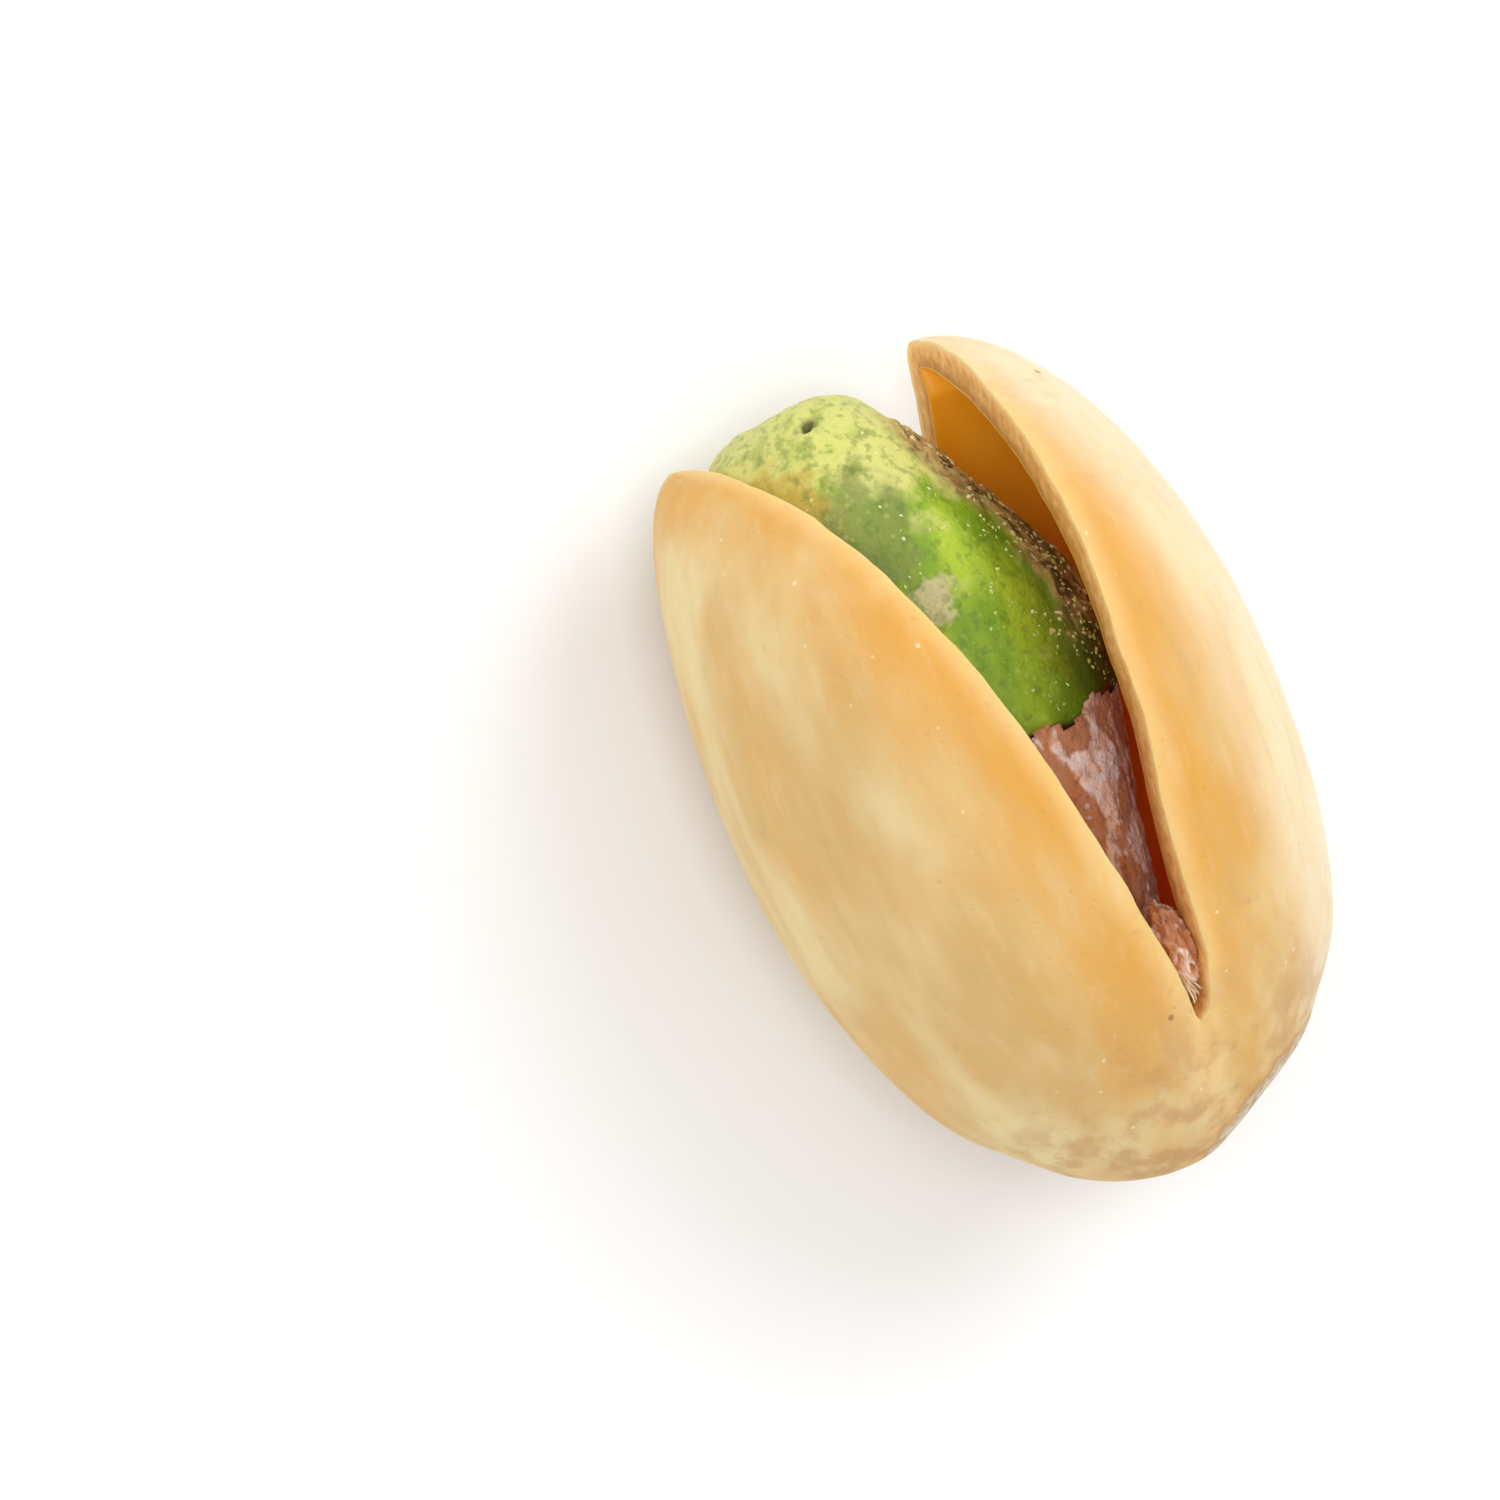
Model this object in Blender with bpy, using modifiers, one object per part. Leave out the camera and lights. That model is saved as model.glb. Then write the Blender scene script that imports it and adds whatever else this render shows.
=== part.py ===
"""A pistachio in its open shell, at its real size, in metres.

The nut lies on its dorsal side with the split facing up. +X runs from the stem end to the tip,
+Z points up out of the split, and the origin is on the ground below the middle of the shell.
Four pieces: the shell, whose two valves stay joined at the stem end, the kernel, the papery seed
coat around the kernel's stem half, and the short stalk that held the seed at the stem end.
"""

from math import cos, exp, hypot, pi, sin

import bmesh
import bpy
from mathutils import Matrix, Vector

# ---- driving dimensions ----------------------------------------------------------------------

MM = 0.001

SHELL_LENGTH = 20.0 * MM       # stem end to tip
VENTRAL_RISE = 6.58 * MM       # mid-line to the split, half way along
DORSAL_DROP = 5.07 * MM        # mid-line to the dorsal seam, half way along
VALVE_DEPTH = 5.25 * MM        # how far one valve bulges sideways from the seam
WALL = 0.88 * MM               # thickness of the hard shell
STEM_SKEW = 0.20 * MM          # the outline is higher here at the stem end
TIP_SKEW = -0.57 * MM          # and lower at the tip

# How each outline runs lengthwise: how pointed its stem end is, how much more pointed its tip is,
# how far its widest place leans to the stem end, and how much fuller its ends are.
VENTRAL_OUTLINE = (1.028, 0.128, -0.304, -0.016)
DORSAL_OUTLINE = (0.964, -0.084, 0.245, -0.364)
VALVE_OUTLINE = (0.958, 0.037, 0.269, 0.0)
KERNEL_OUTLINE = (0.81, -0.15, -0.26, -0.31)

HINGE_X = 3.16 * MM            # the valves open about this place, from the stem end
HINGE_SPREAD = 1.70 * MM       # half the length over which the shell bends there
OPEN_ANGLE = 0.199             # radians that each valve has swung open
DORSAL_EXTRA = 0.094           # the valves gape a little more on the dorsal side
SPLIT_START = 3.2 * MM         # both seams are open from here to the tip

SCAR_NORMAL = (-1.0, -0.40, 0.25)   # the stem scar is a flat that faces this way
SCAR_DISTANCE = 0.14 * MM      # from the mid-line's stem end
SCAR_SOFTNESS = 0.27 * MM      # half the thickness over which its edge rounds off

FLAT_DEPTH = 0.24 * MM         # how much the resting spot takes off the dorsal side
REST_PITCH = 0.10              # radians, the tip end lies lower because the kernel sits there

KERNEL_STEM_X = 3.4 * MM       # the kernel's ends, from the shell's stem end
KERNEL_TIP_X = 19.55 * MM
KERNEL_SIDE = 0.13 * MM        # the kernel lies a little towards the +Y valve
KERNEL_SLEW = 0.025            # and turns towards it, in metres sideways for each metre along
KERNEL_RISE = 0.60 * MM
KERNEL_HALF_WIDTH = 3.92 * MM
KERNEL_HALF_HEIGHT = 3.45 * MM
KERNEL_FLANK = 0.80            # its -Y side slants: this share of the half width at its ends
KERNEL_FLANK_SWELL = 0.22      # and this much more where it is fullest
KERNEL_FLANK_PLACE = 0.50      # which is here, as a share of its length
KERNEL_FLANK_SPREAD = 0.22

COAT_END_X = 10.6 * MM         # the torn edge of the seed coat
COAT_THICKNESS = 0.22 * MM
COAT_GAP = 0.38 * MM           # clear space below the coat, which touches the real kernel
COAT_STEP = 0.9 * MM           # the kernel swells back to full size over this length

STALK_LENGTH = 2.4 * MM
STALK_RADIUS = 0.42 * MM
STALK_X = 4.4 * MM             # its middle, from the shell's stem end
STALK_Z = 2.45 * MM            # and above the mid-line
STALK_TILT = 0.25              # radians, rising towards the tip
STALK_SEGMENTS = 14
STALK_RINGS = 10

CUTTER_SIZE = 14 * MM

SHELL_SEGMENTS = 40
SHELL_RINGS = 30
KERNEL_SEGMENTS = 24
KERNEL_RINGS = 34


# ---- helpers ---------------------------------------------------------------------------------

def clear_scene():
    for thing in list(bpy.data.objects):
        bpy.data.objects.remove(thing, do_unlink=True)


def new_collection(name):
    collection = bpy.data.collections.new(name)
    bpy.context.scene.collection.children.link(collection)
    return collection


def make_material(name, colour, roughness):
    material = bpy.data.materials.new(name)
    material.use_nodes = True
    shader = material.node_tree.nodes["Principled BSDF"]
    shader.inputs["Base Color"].default_value = (*colour, 1.0)
    shader.inputs["Roughness"].default_value = roughness
    shader.inputs["Metallic"].default_value = 0.0
    return material


def make_object(name, bm, collection, material=None):
    bmesh.ops.recalc_face_normals(bm, faces=bm.faces)
    mesh = bpy.data.meshes.new(name)
    bm.to_mesh(mesh)
    bm.free()
    mesh.shade_smooth()
    thing = bpy.data.objects.new(name, mesh)
    if material is not None:
        mesh.materials.append(material)
    collection.objects.link(thing)
    return thing


def unit_ball(segments, rings):
    """A ball of radius 1 with its poles on the X axis: the stem end at -X and the tip at +X."""
    bm = bmesh.new()
    bmesh.ops.create_uvsphere(bm, u_segments=segments, v_segments=rings, radius=1.0,
                              matrix=Matrix.Rotation(pi / 2, 4, "Y"))
    return bm


def ball_angles(unit):
    """Share of the way along, ring size, and the up and sideways shares within the ring."""
    along = (1 + unit.x) / 2
    ring = hypot(unit.y, unit.z)
    if ring < 1e-6:
        return along, 0.0, 1.0, 0.0
    return along, ring, unit.z / ring, unit.y / ring


def outline(size, shape, along, ring):
    """How far an outline stands from the mid-line at this share of the way along."""
    pointed, change, lean, fuller = shape
    c = 1 - 2 * along
    return size * ring ** (pointed + change * along) * (1 + lean * c + fuller * c * c)


# ---- shell -----------------------------------------------------------------------------------

def swing(x, z):
    """How far a valve has turned and moved sideways at this place along the nut."""
    start = HINGE_X - HINGE_SPREAD
    u = min(max((x - start) / (2 * HINGE_SPREAD), 0.0), 1.0)
    turn = OPEN_ANGLE * u * u * (3 - 2 * u)
    if x > HINGE_X + HINGE_SPREAD:
        shift = OPEN_ANGLE * (x - HINGE_X)
    else:
        shift = OPEN_ANGLE * 2 * HINGE_SPREAD * (u ** 3 - u ** 4 / 2)
    return turn, shift * (1 - DORSAL_EXTRA * z / VENTRAL_RISE)


def valve_point(unit, side):
    """A point of the shell's outer skin: egg-shaped sections, then the valve swings open."""
    along, ring, up, out = ball_angles(unit)
    x = SHELL_LENGTH * along
    top = outline(VENTRAL_RISE, VENTRAL_OUTLINE, along, ring)
    bottom = -outline(DORSAL_DROP, DORSAL_OUTLINE, along, ring)
    skew = STEM_SKEW * (1 - along) ** 2 + TIP_SKEW * along ** 2
    z = (top + bottom) / 2 + skew + (top - bottom) / 2 * up
    y = outline(VALVE_DEPTH, VALVE_OUTLINE, along, ring) * abs(out)
    turn, shift = swing(x, z)
    return rub_scar(Vector((x - y * sin(turn), side * (y * cos(turn) + shift), z)))


def rub_scar(place):
    """Push a point that stands beyond the stem scar back to it, with a soft edge."""
    normal = Vector(SCAR_NORMAL).normalized()
    over = place.dot(normal) - SCAR_DISTANCE
    edge = min(max(over, -SCAR_SOFTNESS), SCAR_SOFTNESS) + SCAR_SOFTNESS
    push = edge * edge / (4 * SCAR_SOFTNESS) + max(over - SCAR_SOFTNESS, 0.0)
    return place - normal * push


def ball_x(x):
    """Where a place along the shell lies on the unit ball's X axis."""
    return 2 * x / SHELL_LENGTH - 1


def make_shell(collection, cutters, material):
    bm = unit_ball(SHELL_SEGMENTS, SHELL_RINGS)
    start = ball_x(SPLIT_START)
    seams = [edge for edge in bm.edges
             if all(abs(v.co.y) < 1e-5 and v.co.x > start for v in edge.verts)]
    bmesh.ops.split_edges(bm, edges=seams)
    sides = {}
    for v in bm.verts:
        lean = sum(face.calc_center_median().y for face in v.link_faces)
        sides[v] = 0 if abs(lean) < 1e-4 else (1 if lean > 0 else -1)
    for v in bm.verts:
        v.co = valve_point(v.co, sides[v])
    shell = make_object("shell", bm, collection, material)

    wall = shell.modifiers.new("wall", "SOLIDIFY")
    wall.thickness = WALL
    wall.offset = -1.0

    block = bmesh.new()
    bmesh.ops.create_cube(block, size=CUTTER_SIZE,
                          matrix=Matrix.Translation((0, 0, -CUTTER_SIZE / 2)))
    cutter = make_object("ground_cut", block, cutters)
    cutter.display_type = "WIRE"
    cutter.hide_render = True
    flat = shell.modifiers.new("flat spot", "BOOLEAN")
    flat.operation = "DIFFERENCE"
    flat.solver = "EXACT"
    flat.object = cutter
    return shell


# ---- kernel, seed coat and stalk -------------------------------------------------------------

def kernel_x(unit_x):
    return KERNEL_STEM_X + (KERNEL_TIP_X - KERNEL_STEM_X) * (1 + unit_x) / 2


def kernel_point(unit, inset):
    """A point of the kernel's skin, or of a skin that lies inset metres below it."""
    along, ring, up, out = ball_angles(unit)
    width = outline(KERNEL_HALF_WIDTH, KERNEL_OUTLINE, along, ring)
    height = outline(KERNEL_HALF_HEIGHT, KERNEL_OUTLINE, along, ring)
    if out < 0:
        from_fullest = (along - KERNEL_FLANK_PLACE) / KERNEL_FLANK_SPREAD
        width *= KERNEL_FLANK + KERNEL_FLANK_SWELL * exp(-from_fullest ** 2)
    x = kernel_x(unit.x) + inset * (1 - 2 * along)
    y = (width - inset * ring) * out
    z = (height - inset * ring) * up
    run = x - KERNEL_STEM_X
    return Vector((x, y + KERNEL_SIDE + KERNEL_SLEW * run, z + KERNEL_RISE))


def make_kernel(collection, material):
    bm = unit_ball(KERNEL_SEGMENTS, KERNEL_RINGS)
    recess = COAT_THICKNESS + COAT_GAP
    for v in bm.verts:
        past_edge = (kernel_x(v.co.x) - COAT_END_X) / COAT_STEP
        bare = min(max(past_edge, 0.0), 1.0)
        v.co = kernel_point(v.co, recess * (1 - bare))
    return make_object("kernel", bm, collection, material)


def make_seed_coat(collection, material):
    """The skin is the stem part of the kernel's own surface, with a thin wall below it."""
    bm = unit_ball(KERNEL_SEGMENTS, KERNEL_RINGS)
    beyond = [v for v in bm.verts if kernel_x(v.co.x) > COAT_END_X]
    bmesh.ops.delete(bm, geom=beyond, context="VERTS")
    for v in bm.verts:
        v.co = kernel_point(v.co, 0.0)
    coat = make_object("seed_coat", bm, collection, material)
    wall = coat.modifiers.new("wall", "SOLIDIFY")
    wall.thickness = COAT_THICKNESS
    wall.offset = -1.0
    return coat


def make_seed_stalk(collection, material):
    """A short dried stalk that fills the end of the split, above the kernel's stem end."""
    bm = bmesh.new()
    bmesh.ops.create_uvsphere(bm, u_segments=STALK_SEGMENTS, v_segments=STALK_RINGS, radius=1.0)
    tilt = Matrix.Rotation(-STALK_TILT, 3, "Y")
    centre = Vector((STALK_X, 0.0, STALK_Z))
    for v in bm.verts:
        shaped = Vector((v.co.x * STALK_LENGTH / 2, v.co.y * STALK_RADIUS, v.co.z * STALK_RADIUS))
        v.co = centre + tilt @ shaped
    return make_object("seed_stalk", bm, collection, material)


# ---- build -----------------------------------------------------------------------------------

def lay_down(shell, pieces):
    """Pitch the nut to its resting angle and sink the shell's lowest place into the ground cut."""
    pitch = Matrix.Rotation(REST_PITCH, 3, "Y")
    skin = [pitch @ v.co for v in shell.data.vertices]
    middle = (min(p.x for p in skin) + max(p.x for p in skin)) / 2
    lowest = min(p.z for p in skin)
    for piece in pieces:
        piece.rotation_euler = (0, REST_PITCH, 0)
        piece.location = (-middle, 0, -lowest - FLAT_DEPTH)


def main():
    clear_scene()
    nut = new_collection("pistachio_in_shell")
    cutters = new_collection("cutters")
    shell = make_shell(nut, cutters, make_material("shell_cream", (0.76, 0.55, 0.29), 0.5))
    kernel = make_kernel(nut, make_material("kernel_green", (0.25, 0.40, 0.04), 0.6))
    coat = make_seed_coat(nut, make_material("coat_mauve", (0.42, 0.22, 0.16), 0.8))
    stalk = make_seed_stalk(nut, make_material("stalk_brown", (0.50, 0.30, 0.20), 0.8))
    lay_down(shell, [shell, kernel, coat, stalk])
    bpy.context.view_layer.update()


main()
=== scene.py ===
# %% [markdown]
# # A pistachio in its open shell
#
# A roasted pistachio is four things: a hard shell that has split from its tip and gapes like a
# clam, the green kernel inside, the papery seed coat that still clothes the kernel's stem half,
# and a wisp of dried stalk where the seed hung from the shell. This lesson builds each of them
# at its real size, one finish at a time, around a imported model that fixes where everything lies.

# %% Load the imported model
from functools import partialmethod
from math import cos, pi, radians, sin

import bmesh
import bpy
import numpy as np
from mathutils import Euler, Matrix, Vector, noise


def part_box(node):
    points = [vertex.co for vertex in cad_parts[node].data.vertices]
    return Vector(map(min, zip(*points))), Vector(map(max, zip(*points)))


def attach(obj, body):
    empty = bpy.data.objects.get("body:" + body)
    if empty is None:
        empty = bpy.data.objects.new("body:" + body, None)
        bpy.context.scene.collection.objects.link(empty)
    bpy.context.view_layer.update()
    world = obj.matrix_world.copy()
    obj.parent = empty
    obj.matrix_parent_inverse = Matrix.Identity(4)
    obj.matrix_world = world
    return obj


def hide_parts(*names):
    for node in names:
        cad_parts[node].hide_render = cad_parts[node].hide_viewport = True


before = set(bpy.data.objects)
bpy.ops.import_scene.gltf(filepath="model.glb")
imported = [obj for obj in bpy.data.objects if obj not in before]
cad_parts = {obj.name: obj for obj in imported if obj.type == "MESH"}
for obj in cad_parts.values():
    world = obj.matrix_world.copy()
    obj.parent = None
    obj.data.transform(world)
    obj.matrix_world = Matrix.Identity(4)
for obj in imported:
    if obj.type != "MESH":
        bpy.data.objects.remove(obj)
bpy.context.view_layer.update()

shell_low, shell_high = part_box("shell")
print("nodes:", sorted(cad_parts))
print("shell box in mm:", [round(1000 * v, 2) for v in (*shell_low, *shell_high)])

# %% [markdown]
# ## Sizes
#
# The nut is described in its own lengths first: along from the stem end to the tip, up towards
# the ventral split, and sideways into a valve. Only at the end is it pitched and set down where
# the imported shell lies. A few driving sizes make the whole outline, so they are named here.

# %% Driving sizes
MM = 0.001
LENGTH = 20.0 * MM
WALL = 0.88 * MM
RESTING_PITCH = 0.10         # radians: the tip lies lower, because the kernel sits there

SKIN_SIZES = {
    "Length": LENGTH,
    "Ventral Rise": 6.58 * MM,
    "Dorsal Drop": 5.07 * MM,
    "Valve Depth": 5.25 * MM,
    "Hinge X": 3.16 * MM,
    "Hinge Spread": 1.70 * MM,
    "Open Angle": 0.199,
    "Split Start": 3.2 * MM,
    "Stem Cut": 0.14 * MM,
    "Wall": WALL,
}
SKIN_SEGMENTS = 168
SKIN_RINGS = 132
print("shell skin:", SKIN_SEGMENTS * SKIN_RINGS, "faces before the wall is added")

# %% [markdown]
# ## Node trees written as sums
#
# Both the shell's shape and every finish are node trees. Adding Math nodes one by one hides the
# formula, so a small class wraps a socket and overloads Python's operators: `1 - mask` adds the
# node. Any other node comes from one method, `add`, which takes the type, the settings and the
# sockets. The same two classes serve shader trees and Geometry Nodes trees.


# %% A socket that can be used in sums
class Wire:
    """One output socket that can be used in sums."""

    def __init__(self, graph, socket):
        self.graph = graph
        self.socket = socket

    def math(self, operation, *others):
        values = {i: v for i, v in enumerate((self, *others))}
        return self.graph.add("ShaderNodeMath", {"operation": operation}, values)

    def __rsub__(self, other):
        return self.graph.add("ShaderNodeMath", {"operation": "SUBTRACT"}, {0: other, 1: self})

    def __neg__(self):
        return self.math("MULTIPLY", -1.0)

    def clamp(self, low=0.0, high=1.0):
        return self.math("MAXIMUM", low).math("MINIMUM", high)

    def ramp(self, low, high):
        """0 below low, 1 above high, and a smooth step between."""
        return self.graph.add("ShaderNodeMapRange", {"interpolation_type": "SMOOTHSTEP"},
                              {"Value": self, "From Min": low, "From Max": high})


for symbol, operation in {"add": "ADD", "radd": "ADD", "sub": "SUBTRACT", "mul": "MULTIPLY",
                          "rmul": "MULTIPLY", "truediv": "DIVIDE", "pow": "POWER"}.items():
    setattr(Wire, f"__{symbol}__", partialmethod(Wire.math, operation))
print("sums such as 1 - mask now write their own nodes")


# %% A tree whose nodes come from one method
class Graph:
    """A node tree that is written from Python."""

    def __init__(self, tree):
        self.tree = tree

    def add(self, kind, settings=None, sockets=None, out=0):
        node = self.tree.nodes.new(kind)
        for name, value in (settings or {}).items():
            setattr(node, name, value)
        for key, value in (sockets or {}).items():
            self.feed(node.inputs[key], value)
        return Wire(self, node.outputs[out])

    def feed(self, socket, value):
        if isinstance(value, Wire):
            self.tree.links.new(value.socket, socket)
        else:
            socket.default_value = value

    def axes(self, vector):
        node = self.add("ShaderNodeSeparateXYZ", sockets={"Vector": vector}).socket.node
        return [Wire(self, out) for out in node.outputs]

    def vector(self, x, y, z):
        return self.add("ShaderNodeCombineXYZ", sockets={"X": x, "Y": y, "Z": z})

    def vector_math(self, operation, *values, out=0):
        return self.add("ShaderNodeVectorMath", {"operation": operation},
                        dict(enumerate(values)), out)


# %% How every Geometry Nodes tree starts and ends
def start_tree(name, inputs):
    """A Geometry Nodes tree with named inputs, and each of them as a Wire."""
    tree = bpy.data.node_groups.new(name, "GeometryNodeTree")
    for title, kind in inputs.items():
        tree.interface.new_socket(title, in_out="INPUT", socket_type="NodeSocket" + kind)
    tree.interface.new_socket("Geometry", in_out="OUTPUT", socket_type="NodeSocketGeometry")
    g = Graph(tree)
    group = tree.nodes.new("NodeGroupInput")
    return g, {out.name: Wire(g, out) for out in group.outputs if out.name}


def end_tree(g, geometry, material):
    """Instances made real, the material set, and the result handed out."""
    real = g.add("GeometryNodeRealizeInstances", sockets={"Geometry": geometry})
    last = g.add("GeometryNodeSetMaterial", sockets={"Geometry": real, "Material": material})
    g.feed(g.tree.nodes.new("NodeGroupOutput").inputs["Geometry"], last)
    print(g.tree.name, "has", len(g.tree.nodes), "nodes")
    return g.tree


# %% [markdown]
# ## The shell's skin as a rule
#
# A closed pistachio shell is egg-shaped in every cross-section: a ventral rise, a shallower
# dorsal drop and a bulge to each side. It then splits along both seams and each valve swings
# outwards about the stem end. That is a rule, so the skin is a Geometry Nodes tree: it takes a
# ball, cuts its edges along the seams, and moves every point by the formula. A second copy of
# the formula, one wall thinner, is stored as an attribute, because it is where the inner wall
# goes later. Simply pushing points inwards along their normals would fold up in the sharp tip.


# %% The valve formula
# Each outline's fullness at the stem end and how it grows to the tip, its lean towards the stem
# end, and how square its shoulders are.
VENTRAL_SHAPE = (1.028, 0.128, -0.304, -0.016)
DORSAL_SHAPE = (0.964, -0.084, 0.245, -0.364)
BULGE_SHAPE = (0.958, 0.037, 0.269, 0.0)
STEM_SKEW = 0.20 * MM        # the seam's ends lie above and below the middle line
TIP_SKEW = -0.57 * MM
END_WALL = 0.8               # the wall's share of its thickness at both ends
THINNING = 2.6               # the wall thins where the ball's ring is under 1 / 2.6
DORSAL_EXTRA = 0.086 / (6 * MM)    # the back opens a little wider than the split
STEM_NORMAL = Vector((-1.0, -0.40, 0.25)).normalized()    # the stem scar faces this way
SCAR_SOFTNESS = 0.27 * MM


def outline(size, shape, along, ring):
    """How far a section reaches from the middle line, from its size and the four numbers."""
    full, growth, lean, square = shape
    c = 1 - along * 2
    return size * ring ** (along * growth + full) * (1 + c * lean + c * c * square)


def valve_place(g, size, unit, side, wall):
    """Where a point of the unit ball (poles on Z) goes, wall metres below the outer skin."""
    px, py, pz = g.axes(unit)
    along = (pz + 1) * 0.5
    ring = (px * px + py * py).math("SQRT").math("MAXIMUM", 1e-5)
    up = px / ring
    out = py.math("ABSOLUTE") / ring
    thin = wall * (ring * THINNING).math("MINIMUM", 1.0)

    top = outline(size["Ventral Rise"], VENTRAL_SHAPE, along, ring)
    bottom = outline(size["Dorsal Drop"], DORSAL_SHAPE, along, ring)
    depth = outline(size["Valve Depth"], BULGE_SHAPE, along, ring)
    skew = (1 - along) ** 2 * STEM_SKEW + along ** 2 * TIP_SKEW
    z = (top - bottom) * 0.5 + skew + ((top + bottom) * 0.5 - thin) * up
    y = (depth - thin) * out
    x = size["Length"] * along - wall * pz * END_WALL

    spread = size["Hinge Spread"]
    past = x - size["Hinge X"]
    u = ((past + spread) / (spread * 2)).clamp()
    turn = size["Open Angle"] * u * u * (3 - 2 * u)
    swing = spread * 2 * (u ** 3 - u ** 4 * 0.5) + (past - spread).math("MAXIMUM", 0.0)
    swing = size["Open Angle"] * swing * (1 - z * DORSAL_EXTRA)
    x = x - y * turn.math("SINE")
    y = side * (y * turn.math("COSINE") + swing)
    return g.vector(x, y, z)


def stem_scar(g, size, place, wall):
    """Rub off the stem end where the shell sat on its stalk: a soft-edged flat."""
    over = g.vector_math("DOT_PRODUCT", place, STEM_NORMAL, out=1) - size["Stem Cut"] + wall
    edge = over.clamp(-SCAR_SOFTNESS, SCAR_SOFTNESS) + SCAR_SOFTNESS
    push = edge * edge / (4 * SCAR_SOFTNESS) + (over - SCAR_SOFTNESS).math("MAXIMUM", 0.0)
    shift = g.add("ShaderNodeVectorMath", {"operation": "SCALE"},
                  {0: STEM_NORMAL, "Scale": push})
    return g.vector_math("SUBTRACT", place, shift)


print("the stem scar faces", [round(axis, 2) for axis in STEM_NORMAL])


# %% The tree
def skin_tree(material):
    g, size = start_tree("shell_skin", {"Segments": "Int", "Rings": "Int",
                                        **{name: "Float" for name in SKIN_SIZES}})
    ball = g.add("GeometryNodeMeshUVSphere",
                 sockets={"Segments": size["Segments"], "Rings": size["Rings"]})
    ends = g.add("GeometryNodeInputMeshEdgeVertices").socket.node
    start = size["Split Start"] * 2 / size["Length"] - 1
    on_seam = 1.0
    for end in ("Position 1", "Position 2"):
        ey, ez = g.axes(Wire(g, ends.outputs[end]))[1:]
        near = ey.math("ABSOLUTE").math("LESS_THAN", 1e-4)
        on_seam = near * ez.math("GREATER_THAN", start) * on_seam
    cut = g.add("GeometryNodeSplitEdges", sockets={"Mesh": ball, "Selection": on_seam})

    unit = g.add("GeometryNodeInputPosition")
    face_y = g.add("GeometryNodeFieldOnDomain", {"domain": "FACE"}, {0: g.axes(unit)[1]})
    side = (face_y * 1e4).clamp(-1.0, 1.0)
    ux, uy, uz = g.axes(unit)
    around = uy.math("ABSOLUTE").math("ARCTAN2", ux) * (1 / pi)
    stores = {
        "along": ((uz + 1) * 0.5, "FLOAT"),
        "around": (around, "FLOAT"),
        "inner_place": (stem_scar(g, size, valve_place(g, size, unit, side, size["Wall"]),
                                  size["Wall"]), "FLOAT_VECTOR"),
    }
    for name, (value, kind) in stores.items():
        cut = g.add("GeometryNodeStoreNamedAttribute", {"data_type": kind, "domain": "POINT"},
                    {"Geometry": cut, "Name": name, "Value": value})
    outer = stem_scar(g, size, valve_place(g, size, unit, side, 0.0), 0.0)
    moved = g.add("GeometryNodeSetPosition", sockets={"Geometry": cut, "Position": outer})
    return end_tree(g, moved, material)


def plain_object(name, mesh):
    thing = bpy.data.objects.new(name, mesh)
    bpy.context.scene.collection.objects.link(thing)
    return thing


def baked(thing):
    """The object's evaluated mesh as its own plain mesh, with the modifiers gone."""
    graph = bpy.context.evaluated_depsgraph_get()
    mesh = bpy.data.meshes.new_from_object(thing.evaluated_get(graph))
    thing.modifiers.clear()
    old = thing.data
    thing.data = mesh
    bpy.data.meshes.remove(old)
    mesh.name = thing.name
    return thing


def grow(name, tree, values, mesh=None):
    """Run a Geometry Nodes tree on an object, its inputs set by identifier, and bake it."""
    thing = plain_object(name, mesh or bpy.data.meshes.new(name))
    nodes = thing.modifiers.new("rule", "NODES")
    nodes.node_group = tree
    for item in tree.interface.items_tree:
        if item.item_type == "SOCKET" and item.in_out == "INPUT" and item.name in values:
            nodes[item.identifier] = values[item.name]
    return baked(thing)


shell_finish = bpy.data.materials.new("nutshell")
shell = grow("pistachio_shell", skin_tree(shell_finish),
             {"Segments": SKIN_SEGMENTS, "Rings": SKIN_RINGS, **SKIN_SIZES})
print("skin points:", len(shell.data.vertices))

# %% [markdown]
# ## From a skin to a hard shell
#
# Solidify gives the skin its wall and the cut faces along the split. Its copies of the points
# come second in the mesh, in the same order, so they can be moved straight to the places that
# the rule stored for the inner wall. Real shells aren't that smooth: the outside has long low
# swells and the split edge wanders a little where the shell tore, so the points get a seeded
# noise before a small bevel rounds the edges.


# %% Helpers for points and attributes
def get_points(mesh):
    points = np.empty(len(mesh.vertices) * 3)
    mesh.vertices.foreach_get("co", points)
    return points.reshape(-1, 3)


def set_points(mesh, points):
    mesh.vertices.foreach_set("co", np.asarray(points, dtype=np.float32).ravel())
    mesh.update()


def get_normals(mesh):
    normals = np.empty(len(mesh.vertices) * 3)
    mesh.vertices.foreach_get("normal", normals)
    return normals.reshape(-1, 3)


def read_attribute(mesh, name, width=1):
    values = np.empty(len(mesh.vertices) * width)
    mesh.attributes[name].data.foreach_get("vector" if width == 3 else "value", values)
    return values.reshape(-1, width) if width > 1 else values


def write_attribute(mesh, name, values):
    held = mesh.attributes.get(name) or mesh.attributes.new(name, "FLOAT", "POINT")
    held.data.foreach_set("value", np.asarray(values, dtype=np.float32))


def noise_at(points, size, seed=0, stretch=(1, 1, 1)):
    """Smooth noise from -1 to 1 whose swells are about `size` long at each point."""
    offset = Vector((17.3, 5.1, 9.7)) * seed
    scaled = points / (np.array(stretch) * size)
    return np.array([noise.noise(Vector(p) + offset) for p in scaled])


def smooth_step(value, low, high):
    t = np.clip((value - low) / (high - low), 0, 1)
    return t * t * (3 - 2 * t)


print("skin length in mm:", round(float(np.ptp(get_points(shell.data)[:, 0])) / MM, 2))

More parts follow.
